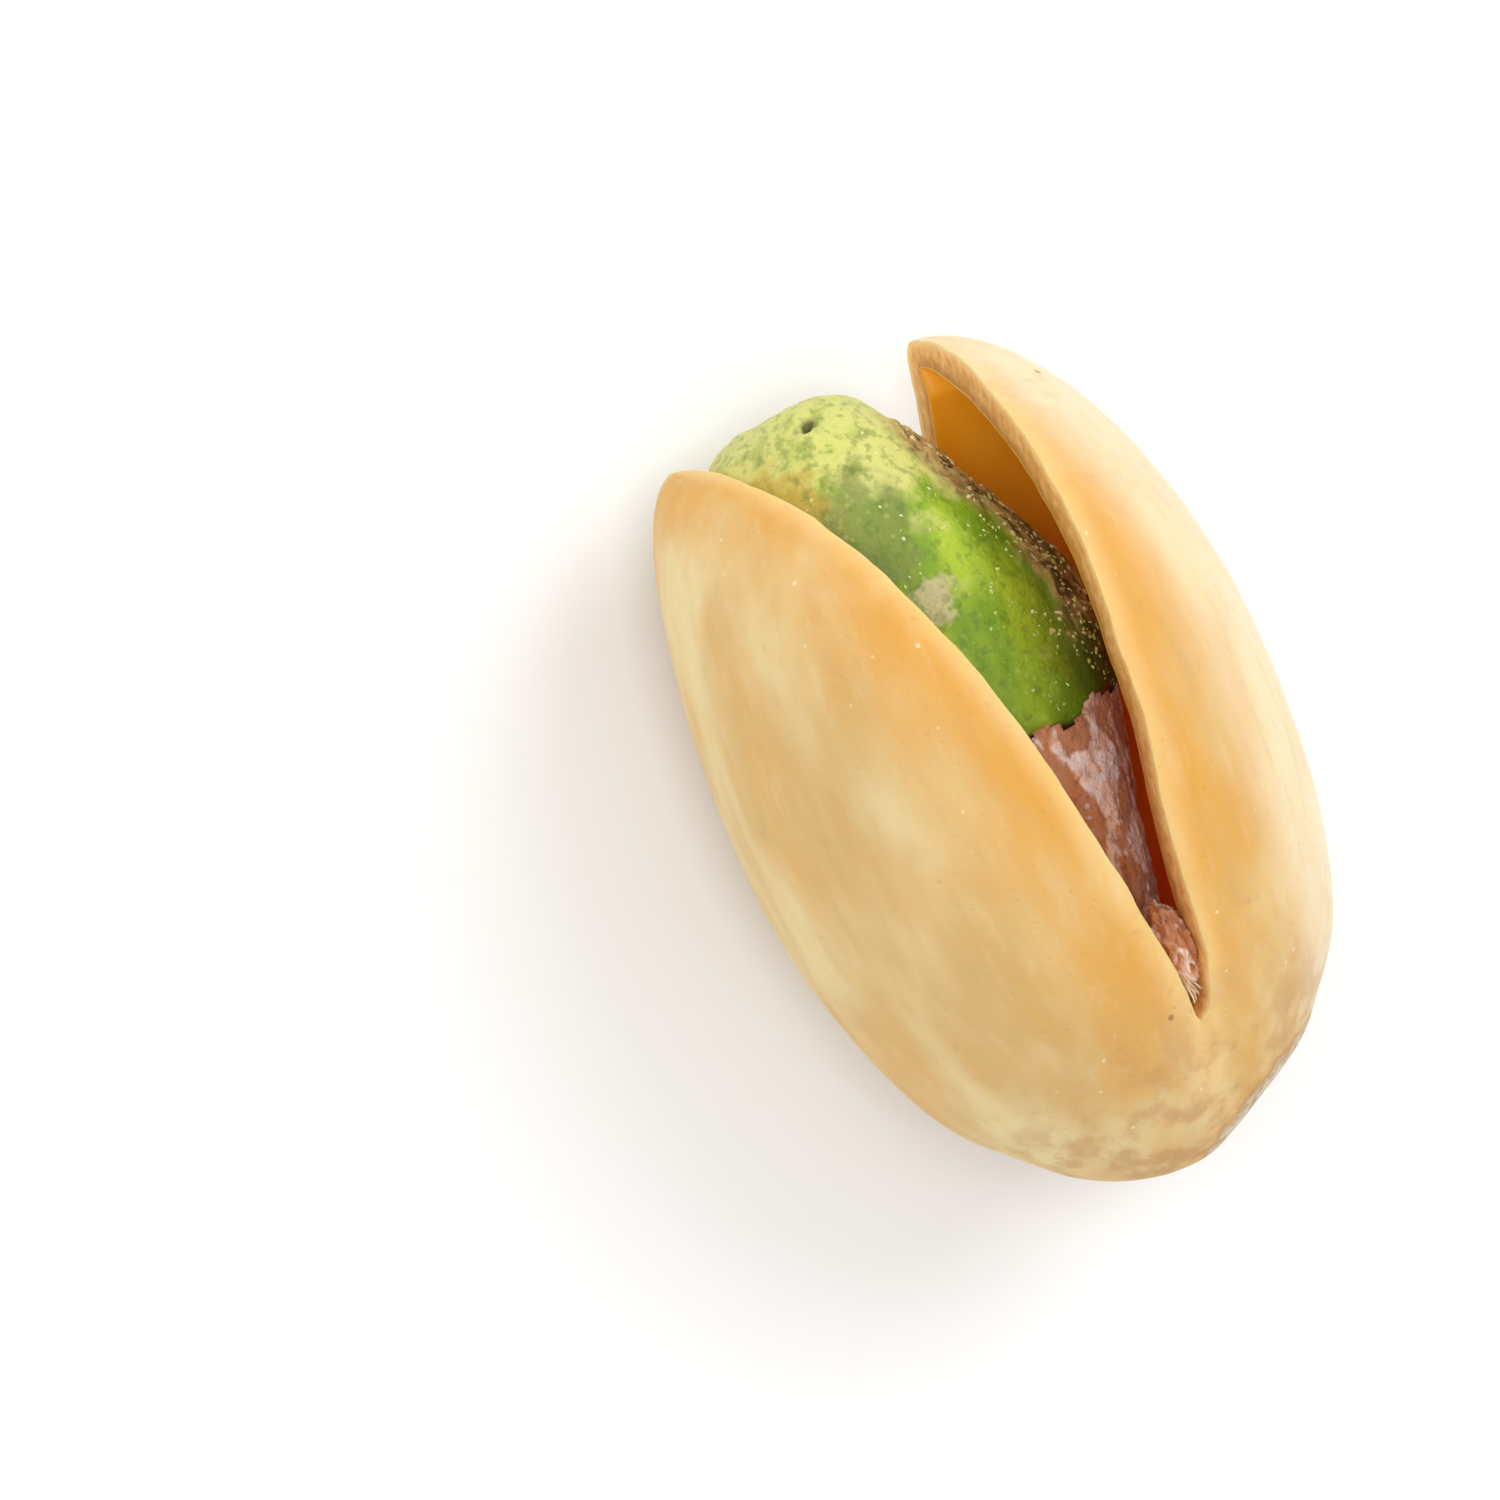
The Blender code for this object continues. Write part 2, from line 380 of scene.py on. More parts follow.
# %% Wall, swells and torn edge
SWELLS = ((0.10 * MM, 5.0 * MM), (0.035 * MM, 1.8 * MM), (0.010 * MM, 0.6 * MM))
EDGE_WANDER = ((0.09 * MM, 2.2 * MM), (0.045 * MM, 0.6 * MM))
EDGE_ROUNDING = 0.18 * MM
NOTCH_X = 4.5 * MM           # the -Y valve is chipped here, where the stalk sat
NOTCH_LENGTH = 1.5 * MM
NOTCH_DEPTH = 0.36 * MM


def open_seam(mesh):
    """1 on the torn edges of both valves, fading out within 1 mm, and the distance to them."""
    around = read_attribute(mesh, "around")
    along = read_attribute(mesh, "along")
    reach = np.minimum(around, 1 - around) * pi * 5.0 * MM * np.sqrt(np.sin(along * pi) + 0.05)
    is_open = smooth_step(along * LENGTH, SKIN_SIZES["Split Start"] - 0.4 * MM,
                          SKIN_SIZES["Split Start"] + 0.6 * MM)
    return np.exp(-reach / (0.45 * MM)) * is_open, reach


def add_wall(thing):
    mesh = thing.data
    count = len(mesh.vertices)
    torn, reach = open_seam(mesh)
    write_attribute(mesh, "reach", reach / MM)
    outer = get_points(mesh)
    from_scar = outer @ np.array(STEM_NORMAL) - SKIN_SIZES["Stem Cut"]
    write_attribute(mesh, "scar", smooth_step(from_scar, -0.40 * MM, -0.05 * MM))
    inner = read_attribute(mesh, "inner_place", 3)
    normals = get_normals(mesh)
    notch = np.exp(-((outer[:, 0] - NOTCH_X) / NOTCH_LENGTH) ** 2) * (outer[:, 1] < 0)
    lift = sum(height * noise_at(outer, size, seed, (1.7, 1, 1))
               for seed, (height, size) in enumerate(SWELLS))
    side = np.sign(outer[:, 1])
    wander = sum(height * noise_at(outer, size, seed + 5)
                 for seed, (height, size) in enumerate(EDGE_WANDER))
    outer = outer + normals * lift[:, None]
    wander = side * wander - NOTCH_DEPTH * notch
    outer[:, 1] += torn * wander
    inner[:, 1] += torn * (wander * 0.6 - NOTCH_DEPTH * notch * 0.2)

    wall = thing.modifiers.new("wall", "SOLIDIFY")
    wall.thickness = WALL
    wall.offset = -1.0
    baked(thing)
    mesh = thing.data
    set_points(mesh, np.vstack([outer, inner]))
    write_attribute(mesh, "depth", np.repeat([0.0, 1.0], count))
    mesh.attributes.remove(mesh.attributes["inner_place"])

    bevel = thing.modifiers.new("edges", "BEVEL")
    bevel.limit_method = "ANGLE"
    bevel.angle_limit = radians(50)
    bevel.width = EDGE_ROUNDING
    bevel.segments = 3
    baked(thing)
    thing.data.shade_smooth()


add_wall(shell)
print("shell points with its wall:", len(shell.data.vertices))

# %% [markdown]
# ## Setting the nut down
#
# The nut is pitched about its own sideways axis and moved so that the shell's box has the same
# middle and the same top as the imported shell. The same matrix carries every other piece. The
# back of a real shell is slightly flat where it lies, so points below the ground rise to it.

# %% From the nut's lengths to the resting place
pitch = Matrix.Rotation(RESTING_PITCH, 4, "Y")
pitched = get_points(shell.data) @ np.array(pitch.to_3x3()).T
shift = Vector(((shell_low.x + shell_high.x - pitched[:, 0].min() - pitched[:, 0].max()) / 2, 0,
                shell_high.z - pitched[:, 2].max()))
nut_to_rest = Matrix.Translation(shift) @ pitch
GROUND_GRAIN = 0.002 * MM


def set_down(thing):
    thing.data.transform(nut_to_rest)
    points = get_points(thing.data)
    points[:, 2] = np.maximum(points[:, 2], shell_low.z + GROUND_GRAIN)
    set_points(thing.data, points)


set_down(shell)
print("shift in mm:", [round(v / MM, 3) for v in shift])

# %% [markdown]
# ## Colours and textures for the finishes
#
# Every finish below is procedural: it mixes colours with masks, and the masks come from noise in
# the piece's own coordinates or from attributes stored on its points. These helpers keep that
# readable. Coordinates are turned into millimetres, so a pattern's size can be read off. Image
# textures would be another way, but they need unwrapping and go soft when seen from close by.


# %% Helpers for finishes
def tint(red, green, blue):
    """A colour as it looks on a screen, each share 0 to 255, turned into linear light."""
    shares = (share / 255 for share in (red, green, blue))
    return (*(s / 12.92 if s < 0.04045 else ((s + 0.055) / 1.055) ** 2.4 for s in shares), 1.0)


def place_in_mm(g, stretch=(1, 1, 1)):
    """Object coordinates in mm, squeezed along the axes where a pattern should look stretched."""
    here = g.add("ShaderNodeTexCoord", out=3)
    return g.vector_math("MULTIPLY", here, tuple(1 / (MM * s) for s in stretch))


def cloud(g, place, size, seed=0, detail=3.0):
    """Soft noise from 0 to 1 whose blotches are about `size` mm across."""
    return g.add("ShaderNodeTexNoise", {"noise_dimensions": "4D"},
                 {"Vector": place, "W": 1.7 * seed, "Scale": 1 / size, "Detail": detail})


def spots(g, place, spacing, seed=0, feature="F1"):
    """Distance to scattered centres about `spacing` mm apart, in shares of the spacing."""
    moved = g.vector_math("ADD", place, (3.1 * seed, 1.3 * seed, 2.7 * seed))
    return g.add("ShaderNodeTexVoronoi", {"feature": feature},
                 {"Vector": moved, "Scale": 1 / spacing})


def paint(g, mask, under, over):
    """`over` laid on `under` where the mask is 1."""
    return g.add("ShaderNodeMix", {"data_type": "RGBA"}, {0: mask, 6: under, 7: over}, 2)


def stored(g, name):
    """A value kept on the points of the piece."""
    return g.add("ShaderNodeAttribute", {"attribute_name": name}, out=2)


def start_finish(material, constants):
    material.use_nodes = True
    shader = material.node_tree.nodes["Principled BSDF"]
    for name, value in constants.items():
        shader.inputs[name].default_value = value
    return Graph(material.node_tree), shader


def end_finish(g, shader, colour, roughness, height, relief):
    """Join colour, roughness and a bump whose height 0 to 1 spans `relief` metres."""
    g.feed(shader.inputs["Base Color"], colour)
    g.feed(shader.inputs["Roughness"], roughness)
    normal = g.add("ShaderNodeBump", sockets={"Distance": relief, "Height": height})
    g.feed(shader.inputs["Normal"], normal)
    print("finish with", len(g.tree.nodes), "nodes")


print("mid grey in linear light:", round(tint(128, 128, 128)[0], 3))

# %% [markdown]
# ## The shell's finish
#
# A roasted shell is dry, matt wood: tan with long paler patches, a warmer orange-tan along the
# torn edge, and brownish mottling at the stem end, which ends in a grey scar. The fibres of the
# wood run lengthwise. The torn edge itself is golden and fibrous, with a painted highlight on its
# outer corner and on the outside next to it. The -Y valve is painted paler where the key light
# falls on it, and the back is browner, partly its own browning and partly painted shade. Inside,
# the wall is smooth and glows orange. The stored `depth` tells outside from inside,
# `reach` is the distance from the torn edge, and `along` runs from stem to tip.

# %% Shell material
def paint_outside(g, here, along, around, reach):
    patchy = place_in_mm(g, (2.4, 1, 1))
    fibrous = place_in_mm(g, (7.0, 1, 1))
    colour = paint(g, cloud(g, patchy, 2.1, 1, 2.0).ramp(0.36, 0.66),
                   tint(214, 180, 118), tint(230, 208, 154))
    colour = paint(g, cloud(g, patchy, 1.7, 2, 2.0).ramp(0.46, 0.70) * 0.5,
                   colour, tint(220, 170, 98))
    near_rim = 1 - reach.ramp(0.6, 4.2)
    band = along.ramp(0.10, 0.36) * 0.45 + cloud(g, patchy, 1.6, 3, 2.0).ramp(0.34, 0.62) * 0.5
    colour = paint(g, near_rim * band, colour, tint(222, 164, 70))
    # painted highlight: a paler line on the outside, next to the torn edge
    colour = paint(g, (1 - reach.ramp(0.05, 0.70)) * 0.5, colour, tint(244, 210, 146))
    sideways, height = g.axes(here)[1:]
    # painted light: the -Y valve is painted paler and creamier where the key light falls strongly
    # on it
    lit_valve_paleness = sideways.ramp(-2.4, -3.9) * height.ramp(13.0, 8.0)
    colour = paint(g, lit_valve_paleness * 0.65, colour, tint(250, 234, 204))
    stem = 1 - along.ramp(0.03, 0.30)
    mottle = cloud(g, here, 0.8, 4, 5.0).ramp(0.44, 0.64)
    colour = paint(g, stem * mottle * 0.65, colour, tint(196, 144, 92))
    # darker brown towards the back seam: partly the shell's own browning, partly painted shade
    # towards the floor
    back = around.ramp(0.60, 0.95)
    colour = paint(g, back * 0.5, colour, tint(178, 130, 80))
    streaks = cloud(g, fibrous, 0.35, 5, 4.0)
    colour = paint(g, streaks.ramp(0.50, 0.76) * 0.20, colour, tint(200, 152, 96))
    colour = paint(g, (1 - streaks.ramp(0.26, 0.48)) * 0.16, colour, tint(242, 222, 182))
    chosen = cloud(g, here, 2.6, 6).ramp(0.52, 0.56)
    specks = (1 - spots(g, here, 1.9, 1).ramp(0.03, 0.065)) * chosen
    colour = paint(g, specks * 0.7, colour, tint(140, 92, 50))
    crumbs = (1 - spots(g, here, 0.8, 9).ramp(0.04, 0.09)) * near_rim
    colour = paint(g, crumbs * 0.7, colour, tint(250, 232, 196))
    scar = stored(g, "scar")
    ragged = scar + (cloud(g, here, 0.45, 10, 4.0) - 0.5) * 1.3
    colour = paint(g, ragged.ramp(0.15, 0.55) * 0.55, colour, tint(184, 136, 90))
    grey = paint(g, cloud(g, here, 0.3, 13, 4.0).ramp(0.40, 0.60), tint(190, 168, 136),
                 tint(226, 214, 190))
    pores = 1 - spots(g, here, 0.7, 12).ramp(0.10, 0.20)
    grey = paint(g, pores * 0.7, grey, tint(120, 88, 56))
    return paint(g, ragged.ramp(0.50, 1.0) * 0.85, colour, grey), streaks


def paint_torn_edge(g, depth):
    fine = place_in_mm(g, (1.6, 0.6, 1))
    fibres = cloud(g, fine, 0.22, 11, 4.0)
    colour = paint(g, fibres.ramp(0.34, 0.70), tint(218, 156, 80), tint(242, 194, 118))
    colour = paint(g, depth.ramp(0.50, 0.95) * 0.6, colour, tint(184, 104, 36))
    # painted highlight on the torn edge's outer corner
    return paint(g, (1 - depth.ramp(0.03, 0.40)) * 0.8, colour, tint(240, 204, 142)), fibres


def paint_inside(g, here, along):
    colour = paint(g, along.ramp(0.50, 0.95), tint(252, 136, 14), tint(255, 182, 46))
    colour = paint(g, cloud(g, here, 1.8, 21).ramp(0.45, 0.62) * 0.5, colour, tint(255, 168, 30))
    specks = 1 - spots(g, here, 0.95, 2).ramp(0.10, 0.18)
    return paint(g, specks * cloud(g, here, 2.2, 22).ramp(0.40, 0.48) * 0.85,
                 colour, tint(130, 56, 10))


def paint_shell(material):
    g, shader = start_finish(material, {"Specular IOR Level": 0.35, "Subsurface Weight": 0.42,
                                        "Subsurface Scale": 1.3 * MM,
                                        "Subsurface Radius": (1.0, 0.45, 0.15)})
    here = place_in_mm(g)
    along, around, reach, depth = (stored(g, name)
                                   for name in ("along", "around", "reach", "depth"))
    outside, streaks = paint_outside(g, here, along, around, reach)
    torn, fibres = paint_torn_edge(g, depth)
    inside = paint_inside(g, here, along)
    is_torn = depth.ramp(0.0, 0.10)
    is_inside = depth.ramp(0.93, 0.995)
    colour = paint(g, is_inside, paint(g, is_torn, outside, torn), inside)
    pits = 1 - spots(g, here, 0.42, 3).ramp(0.05, 0.22)
    grain = streaks * 0.45 + cloud(g, here, 0.16, 7, 3.0) * 0.25 - pits * 0.2
    swells = cloud(g, place_in_mm(g, (2.2, 1, 1)), 1.4, 8) * 1.2
    rough_height = (grain + swells) * (1 - is_torn) + fibres * 1.2 * is_torn
    height = rough_height * (1 - is_inside * 0.92)
    roughness = 0.60 + cloud(g, here, 0.8, 9) * 0.14 - is_inside * 0.32
    end_finish(g, shader, colour, roughness, height, 0.07 * MM)


paint_shell(shell_finish)

# %% [markdown]
# ## The kernel
#
# The kernel is a plump seed with a blunt, almost squared tip and a narrower stem end. It lies
# towards the +Y valve, and towards the tip its other side slants away from the -Y valve. The
# half without its coat is bright green with long shallow furrows, a small pit near the tip and a
# rough ridge of dried coat down its -Y flank. It starts as a ball of points like the shell, but
# here the shape is worked out with arrays, because the lumps and furrows are easier to layer.


# %% A ball of points and the kernel's rule
KERNEL_STEM = 3.3 * MM
KERNEL_TIP = 19.95 * MM
KERNEL_HALF_WIDTH = 3.85 * MM
KERNEL_HALF_HEIGHT = 3.75 * MM
KERNEL_RISE = 0.35 * MM
KERNEL_SLEW = 0.045          # sideways metres for each metre along
KERNEL_ASIDE = 0.05 * MM     # and this much from the start
COAT_EDGE = 10.6 * MM        # where the seed coat is torn off
COAT_RECESS = 0.30 * MM


def unit_ball(name, segments, rings):
    """A ball of radius 1 with poles on X. Its faces are listed in a fixed order."""
    polar, turn = np.meshgrid(np.arange(1, rings) * pi / rings,
                              np.arange(segments) * 2 * pi / segments, indexing="ij")
    belt = np.stack([-np.cos(polar), np.sin(polar) * np.cos(turn), np.sin(polar) * np.sin(turn)],
                    axis=2)
    points = np.concatenate([belt.reshape(-1, 3), [(-1, 0, 0), (1, 0, 0)]])
    grid = np.arange(len(points) - 2).reshape(rings - 1, segments)
    beside = np.roll(grid, -1, axis=1)
    quads = np.stack([grid[:-1], beside[:-1], beside[1:], grid[1:]], axis=2).reshape(-1, 4)
    stem, tip = len(points) - 2, len(points) - 1
    caps = [(stem, b, a) for a, b in zip(grid[0], beside[0])]
    caps += [(tip, a, b) for a, b in zip(grid[-1], beside[-1])]
    mesh = bpy.data.meshes.new(name)
    mesh.from_pydata(points.tolist(), [], quads.tolist() + [tuple(map(int, f)) for f in caps])
    return plain_object(name, mesh)


def kernel_places(unit, inset=0.0):
    """Where points of the unit ball go; inset draws the whole surface in."""
    ring = np.maximum(np.hypot(unit[:, 1], unit[:, 2]), 1e-5)
    along = (1 + np.clip(unit[:, 0], -1, 1)) / 2
    up = unit[:, 2] / ring
    out = unit[:, 1] / ring
    c = 1 - 2 * along
    swell = ring ** (0.88 - 0.40 * along) * (1 - 0.16 * c - 0.16 * c * c)
    crown = ring ** (0.60 - 0.12 * along) * (1 - 0.07 * c - 0.12 * c * c)
    slanting = 1.09 * (0.64 + 0.31 * np.exp(-((along - 0.58) / 0.24) ** 2))
    side_share = np.where(out < 0, slanting, 0.95)
    x = KERNEL_STEM + (KERNEL_TIP - KERNEL_STEM) * along + inset * c
    y = (KERNEL_HALF_WIDTH * side_share * swell - inset * ring) * out
    belly = swell * (0.92 - 0.22 * along * along)
    z = (KERNEL_HALF_HEIGHT * np.where(up < 0, belly, crown) - inset * ring) * up
    run = x - KERNEL_STEM
    return np.stack([x, y + KERNEL_ASIDE + KERNEL_SLEW * run, z + KERNEL_RISE], axis=1)


kernel = unit_ball("pistachio_kernel", 216, 190)
kernel_unit = get_points(kernel.data)
print("kernel points:", len(kernel_unit))


# %% Lumps, furrows, pit and ridge
PIT = (19.5 * MM, 1.05 * MM, 2.45 * MM)    # a crack in the skin near the blunt tip
RIDGE_ANGLE = radians(41)      # up from the kernel's -Y side
RIDGE_SPREAD = radians(15)


def furrows(points, size, seed):
    """Long shallow creases: ridged noise, stretched along the kernel."""
    return 1 - 2 * np.abs(noise_at(points, size, seed, (2.6, 1, 1)))


def dent(points, centre, size, stretch=(1, 1, 1)):
    """1 at the centre and fading to 0 a size away."""
    away = (points - np.array(centre)) / (np.array(stretch) * size)
    return np.exp(-(away * away).sum(axis=1))


def flank_ridge(unit, places):
    """1 along the strip of dried coat down the -Y flank, with a ragged outline."""
    angle = np.arctan2(unit[:, 2], -unit[:, 1])
    ragged = noise_at(places, 1.1 * MM, 41) * 0.16 + noise_at(places, 0.35 * MM, 42) * 0.10
    across = np.abs(angle - RIDGE_ANGLE - ragged) / RIDGE_SPREAD
    lengthwise = smooth_step(places[:, 0], COAT_EDGE + 0.8 * MM, COAT_EDGE + 2.6 * MM) \
        * (1 - smooth_step(places[:, 0], 18.2 * MM, 19.2 * MM))
    return (1 - smooth_step(across, 0.55, 1.15)) * lengthwise


def shape_kernel():
    mesh = kernel.data
    places = kernel_places(kernel_unit)
    set_points(mesh, places)
    normals = get_normals(mesh)
    torn = places[:, 0] + 0.35 * MM * noise_at(places, 1.6 * MM, 31) \
        + 0.12 * MM * noise_at(places, 0.5 * MM, 32)
    bare = smooth_step(torn, COAT_EDGE, COAT_EDGE + 0.45 * MM)
    ridge = flank_ridge(kernel_unit, places)
    crumbs = np.abs(noise_at(places, 0.42 * MM, 25)) + 0.6 * np.abs(noise_at(places, 0.2 * MM, 26))
    lift = 0.13 * MM * noise_at(places, 3.6 * MM, 21)
    lift += 0.055 * MM * furrows(places, 1.3 * MM, 22)
    lift += 0.045 * MM * noise_at(places, 0.8 * MM, 23)
    lift += 0.022 * MM * noise_at(places, 0.3 * MM, 24)
    lift += ridge * (0.04 * MM + 0.15 * MM * crumbs)
    lift -= COAT_RECESS * (1 - bare)
    cracked = dent(places, PIT, 0.19 * MM, (1, 1.9, 1)) * (1 + noise_at(places, 0.22 * MM, 27))
    lift -= 0.34 * MM * cracked
    lift += 0.07 * MM * dent(places, PIT, 0.50 * MM)
    set_points(mesh, places + normals * lift[:, None])
    masks = {
        "bare": bare,
        "ridge": ridge,
        "tip": smooth_step(places[:, 0] - 0.25 * places[:, 1], 15.6 * MM, 18.6 * MM),
        "flank": smooth_step(-places[:, 1], 0.2 * MM, 3.2 * MM),
        "pit": np.clip(cracked, 0, 1),
        # painted shade: where the kernel dips under the -Y valve's rim
        "rim_shade": dent(places, (11.5 * MM, -2.6 * MM, 3.0 * MM), 1.7 * MM, (1.1, 1, 1.2)),
        "grey": dent(places, (16.7 * MM, 1.4 * MM, 3.7 * MM), 1.25 * MM, (1.5, 0.9, 1.5)),
        "ochre": dent(places, (18.1 * MM, 2.6 * MM, 2.9 * MM), 1.0 * MM, (1.1, 1, 1.6)),
        "blush": dent(places, (14.7 * MM, 0.9 * MM, 4.1 * MM), 0.52 * MM, (1.1, 1.2, 2)),
    }
    for name, values in masks.items():
        write_attribute(mesh, name, values)
    mesh.shade_smooth()
    set_down(kernel)


shape_kernel()
low, high = get_points(kernel.data).min(0), get_points(kernel.data).max(0)
print("kernel box in mm:", [round(v / MM, 2) for v in (*low, *high)])

# %% [markdown]
# ## The kernel's finish
#
# Fresh green shows where the coat has come away: brightest along the middle, pale yellow-green
# on the blunt tip where the skin is rubbed, and dusty grey-green and ochre towards the +Y valve.
# Where it dips under the other rim, a deep moss green is painted shade. Salt and broken skin make
# it grainy. Under the coat the seed is brown. Each region is a mask stored on the points, broken
# up by noise.


# %% Kernel material
def paint_kernel(material):
    g, shader = start_finish(material, {"Specular IOR Level": 0.45, "Subsurface Weight": 0.08,
                                        "Subsurface Scale": 0.4 * MM,
                                        "Subsurface Radius": (0.6, 1.0, 0.2)})
    here = place_in_mm(g)
    long = place_in_mm(g, (2.4, 1, 1))
    tip, flank, pit, rim_shade = (stored(g, name) for name in ("tip", "flank", "pit", "rim_shade"))
    grey, ochre, blush = (stored(g, name) for name in ("grey", "ochre", "blush"))
    ridge, bare = (stored(g, name) for name in ("ridge", "bare"))
    grain = cloud(g, here, 0.22, 31, 4.0)

    colour = paint(g, cloud(g, long, 1.3, 32).ramp(0.38, 0.62),
                   tint(118, 158, 14), tint(174, 202, 42))
    colour = paint(g, flank * 0.6, colour, tint(80, 118, 16))
    # painted shade: deep moss green where the kernel dips under the -Y valve's rim
    colour = paint(g, (rim_shade * 1.2 + grain * 0.4 - 0.2).clamp() * 0.9, colour, tint(52, 70, 12))
    worn = (tip + (cloud(g, here, 0.9, 33, 4.0) - 0.5) * 2.4).ramp(0.20, 0.95)
    colour = paint(g, worn * 0.85, colour, tint(218, 212, 126))
    colour = paint(g, tip * cloud(g, here, 0.5, 41, 4.0).ramp(0.54, 0.66) * 0.6, colour,
                   tint(164, 172, 74))
    dusted = (grey * 1.3 + (cloud(g, here, 0.5, 34, 4.0) - 0.5) * 2.0).ramp(0.35, 0.95)
    colour = paint(g, dusted * 0.75, colour, tint(116, 128, 58))
    rusty = (ochre * 1.3 + (cloud(g, here, 0.5, 35, 4.0) - 0.5) * 2.0).ramp(0.35, 0.95)
    colour = paint(g, rusty * 0.8, colour, tint(190, 162, 62))
    rubbed = (blush * 1.5 + (cloud(g, here, 0.35, 36) - 0.5) * 2.2).ramp(0.5, 0.95)
    colour = paint(g, rubbed * 0.8, colour, tint(204, 186, 144))
    dust = 1 - spots(g, here, 0.26, 5).ramp(0.12, 0.34)
    dusty = dust * cloud(g, here, 0.9, 37).ramp(0.40, 0.58) * (flank * 0.5 + 0.45)
    colour = paint(g, dusty * 0.6, colour, tint(206, 216, 120))
    colour = paint(g, (1 - grain.ramp(0.34, 0.52)) * 0.45, colour, tint(84, 112, 16))
    husk = paint(g, cloud(g, long, 0.28, 38, 4.0).ramp(0.36, 0.62),
                 tint(92, 70, 26), tint(196, 164, 98))
    colour = paint(g, ridge * (grain.ramp(0.30, 0.52) * 0.5 + 0.5), colour, husk)
    colour = paint(g, pit.ramp(0.25, 0.8) * 0.85, colour, tint(64, 62, 16))
    under_coat = paint(g, cloud(g, here, 0.5, 39).ramp(0.4, 0.6), tint(96, 42, 22),
                       tint(140, 76, 44))
    colour = paint(g, 1 - bare.ramp(0.25, 0.75), colour, under_coat)

    creases = spots(g, long, 0.8, 6, "SMOOTH_F1")
    height = grain * 0.7 + dust * 0.12 + cloud(g, here, 0.09, 40) * 0.25 + creases * 0.5
    roughness = 0.46 + grain * 0.24 + ridge * 0.25
    end_finish(g, shader, colour, roughness, height, 0.07 * MM)


kernel_finish = bpy.data.materials.new("kernel_green")
kernel.data.materials.append(kernel_finish)
paint_kernel(kernel_finish)

# %% [markdown]
# ## The seed coat
#
# The coat is a papery skin, shrunk and wrinkled as it dried: pinkish mauve rubbed pale on the
# wrinkles, brown in the hollows. It clothes the kernel's stem half and ends in a ragged torn
# edge, with the green kernel standing slightly proud of it. It is made from the same ball and
# the same rule as the kernel, drawn in a little, so it can't miss the kernel; the points past
# the torn edge are dropped, and Solidify gives it a thin, closed sheet.


# %% Torn and wrinkled sheet
COAT_THICKNESS = 0.09 * MM
COAT_DEPTH = 0.11 * MM       # its outside lies this far under the bare kernel's surface


def make_coat():
    coat = unit_ball("seed_coat_skin", 260, 230)
    unit = get_points(coat.data)
    places = kernel_places(unit, COAT_DEPTH)
    tear = 0.30 * MM * noise_at(places, 1.1 * MM, 51) + 0.20 * MM * noise_at(places, 0.34 * MM, 52)
    kept = places[:, 0] + tear < COAT_EDGE + 0.28 * MM
    set_points(coat.data, places)
    bm = bmesh.new()
    bm.from_mesh(coat.data)
    bm.verts.ensure_lookup_table()
    bmesh.ops.delete(bm, geom=[bm.verts[i] for i in np.flatnonzero(~kept)], context="VERTS")
    bm.to_mesh(coat.data)
    bm.free()
    places = get_points(coat.data)
    wrinkles = 1 - 2.2 * np.abs(noise_at(places, 0.95 * MM, 53, (1.8, 1, 1)))
    crumple = 1 - 2.2 * np.abs(noise_at(places, 0.34 * MM, 54, (1.3, 1, 1)))
    curl = smooth_step(places[:, 0], COAT_EDGE - 0.6 * MM, COAT_EDGE + 0.2 * MM)
    lift = 0.085 * MM * wrinkles + 0.055 * MM * crumple + 0.03 * MM * curl
    lift += 0.010 * MM * noise_at(places, 0.14 * MM, 55)
    set_points(coat.data, places + get_normals(coat.data) * lift[:, None])
    write_attribute(coat.data, "wrinkle", 0.5 + 0.32 * wrinkles + 0.18 * crumple)
    sheet = coat.modifiers.new("sheet", "SOLIDIFY")
    sheet.thickness = COAT_THICKNESS
    sheet.offset = -1.0
    baked(coat)
    coat.data.shade_smooth()
    set_down(coat)
    return coat


coat = make_coat()
print("coat points:", len(coat.data.vertices))


# %% [markdown]
# ## The seed coat's finish
#
# Dried seed coat is dull and patchy: pinkish where its outermost layer is left and rubbed pale on
# the wrinkles, brown where that layer has gone. The stored `wrinkle` is high on the wrinkles, so
# the pale rubbing follows the real shape; clouds of several sizes break up the rest. A little
# sheen gives the papery bloom.


# %% Coat material
def paint_coat(material):
    g, shader = start_finish(material, {"Specular IOR Level": 0.30, "Sheen Weight": 0.15})
    here = place_in_mm(g)
    long = place_in_mm(g, (1.8, 1, 1))
    wrinkle = stored(g, "wrinkle")
    blotch = cloud(g, long, 0.9, 61)
    colour = paint(g, (wrinkle * 0.7 + blotch * 0.9).ramp(0.55, 0.98),
                   tint(198, 128, 66), tint(248, 206, 180))
    rubbed = cloud(g, here, 0.6, 62, 4.0).ramp(0.48, 0.57) * wrinkle.ramp(-0.1, 0.3)
    colour = paint(g, rubbed * 0.9, colour, tint(255, 236, 228))
    colour = paint(g, cloud(g, long, 0.75, 63, 4.0).ramp(0.49, 0.56) * 0.85, colour,
                   tint(190, 110, 40))
    colour = paint(g, cloud(g, here, 0.18, 64, 4.0).ramp(0.54, 0.70) * 0.55, colour,
                   tint(142, 76, 34))
    flecks = 1 - spots(g, here, 0.45, 7).ramp(0.10, 0.24)
    colour = paint(g, flecks * 0.5, colour, tint(244, 224, 204))
    height = cloud(g, here, 0.16, 65, 4.0) + cloud(g, here, 0.4, 66) + flecks * 0.3
    end_finish(g, shader, colour, 0.60 + blotch * 0.2, height, 0.09 * MM)


coat_finish = bpy.data.materials.new("seed_coat_mauve")
coat.data.materials.append(coat_finish)
paint_coat(coat_finish)

